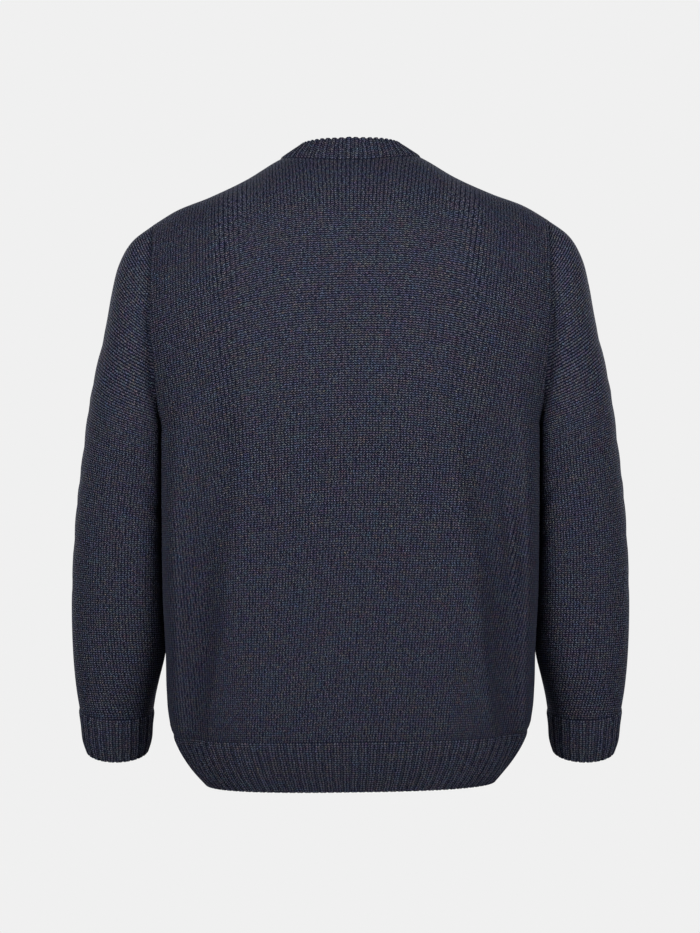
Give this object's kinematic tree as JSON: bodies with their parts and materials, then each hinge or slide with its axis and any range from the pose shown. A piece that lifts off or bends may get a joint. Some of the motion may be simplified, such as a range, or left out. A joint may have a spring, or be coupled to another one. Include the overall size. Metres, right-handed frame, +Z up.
{
  "type": "guernsey fisherman sweater",
  "caption": "Crew-neck pullover in plain knitted wool with long drop-shoulder sleeves and ribbed neck, cuffs and hem, hollow and filled out as worn with the arms down.",
  "frame": {"origin": "midway between the neck ends of the two shoulder seams, where the wearer's shoulders carry the garment", "axes": "+Z up along the body, the front faces -Y and the back +Y, and the wearer's left sleeve is on +X"},
  "size_m": [0.641, 0.2748, 0.7294],
  "materials": {
    "knitted_wool": "matt navy melange worsted wool in plain stockinette",
    "ribbed_wool": "matt navy melange worsted wool in knitted rib"
  },
  "bodies": {
    "root": {"back": "knitted_wool", "front": "knitted_wool", "left_sleeve": "knitted_wool", "right_sleeve": "knitted_wool", "back_hem_rib": "ribbed_wool", "front_hem_rib": "ribbed_wool", "left_cuff": "ribbed_wool", "right_cuff": "ribbed_wool", "neck_rib": "ribbed_wool"}
  },
  "joints": []
}
